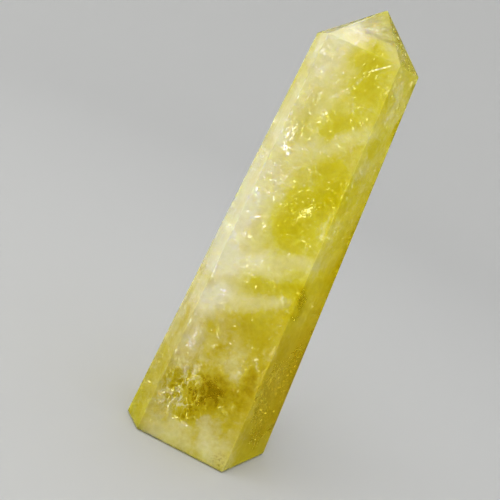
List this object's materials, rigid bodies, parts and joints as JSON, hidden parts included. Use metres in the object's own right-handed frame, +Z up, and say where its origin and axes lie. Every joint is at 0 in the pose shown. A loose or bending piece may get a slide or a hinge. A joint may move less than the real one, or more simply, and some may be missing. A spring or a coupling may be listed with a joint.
{
  "type": "citrine obelisk",
  "caption": "Polished citrine tower: a tapering, faceted crystal of see-through yellow quartz with a blunt point and a flat base to stand on.",
  "frame": {"origin": "centre of the footprint, on the surface that the flat base stands on", "axes": "+Z up along the crystal's height; the broad front facet faces -Y; +X is to the right seen from the front"},
  "size_m": [0.0552, 0.0398, 0.174],
  "materials": {
    "citrine": "polished"
  },
  "bodies": {
    "root": {"crystal": "citrine"}
  },
  "joints": []
}
